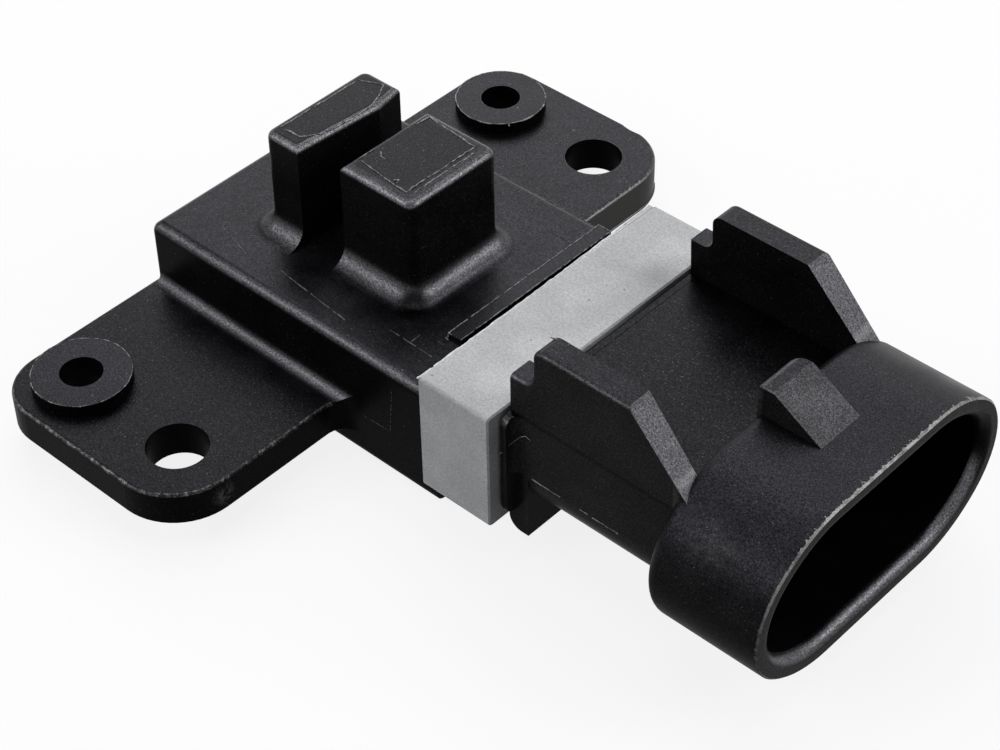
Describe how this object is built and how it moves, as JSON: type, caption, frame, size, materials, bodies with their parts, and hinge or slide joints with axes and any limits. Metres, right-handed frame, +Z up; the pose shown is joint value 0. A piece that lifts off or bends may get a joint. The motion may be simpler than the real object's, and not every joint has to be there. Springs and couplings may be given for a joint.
{
  "type": "camshaft position sensor",
  "caption": "Vane-slot position sensor with slotted towers on a potted block, fixing ears, grey face seal and an oval connector with guard walls round its locking ramp",
  "frame": {"origin": "midway between the two screw holes, on the underside of the ears", "axes": "+X towards the connector's mouth, +Z up out of the ears' seating face through the towers, +Y completes a right-handed frame"},
  "size_m": [0.0588, 0.0544, 0.0192],
  "materials": {
    "moulding": "black glass-filled nylon, satin, fine grain, edges worn pale in places",
    "seal_rubber": "light grey silicone rubber, matt, a few dark specks",
    "terminal_metal": "tinned brass strip, dull",
    "lead_metal": "tinned copper, dull",
    "chip_plastic": "black moulded package, matt",
    "steel": "bare soft iron, stamped",
    "capacitor_ceramic": "brown ceramic, fired",
    "carrier_plastic": "black moulded holder, matt",
    "magnet_metal": "sintered magnet, matt grey",
    "potting_resin": "black epoxy, poured and self-levelled, slight sheen"
  },
  "bodies": {
    "root": {"housing": "moulding", "seal": "seal_rubber", "terminal_supply": "terminal_metal", "terminal_ground": "terminal_metal", "terminal_signal": "terminal_metal", "hall_lead_supply": "lead_metal", "hall_lead_ground": "lead_metal", "hall_lead_signal": "lead_metal", "hall_chip": "chip_plastic", "flux_plate": "steel", "supply_capacitor": "capacitor_ceramic", "output_capacitor": "capacitor_ceramic", "carrier": "carrier_plastic", "magnet": "magnet_metal", "magnet_back_plate": "steel", "magnet_pole_piece": "steel", "potting": "potting_resin"}
  },
  "joints": []
}
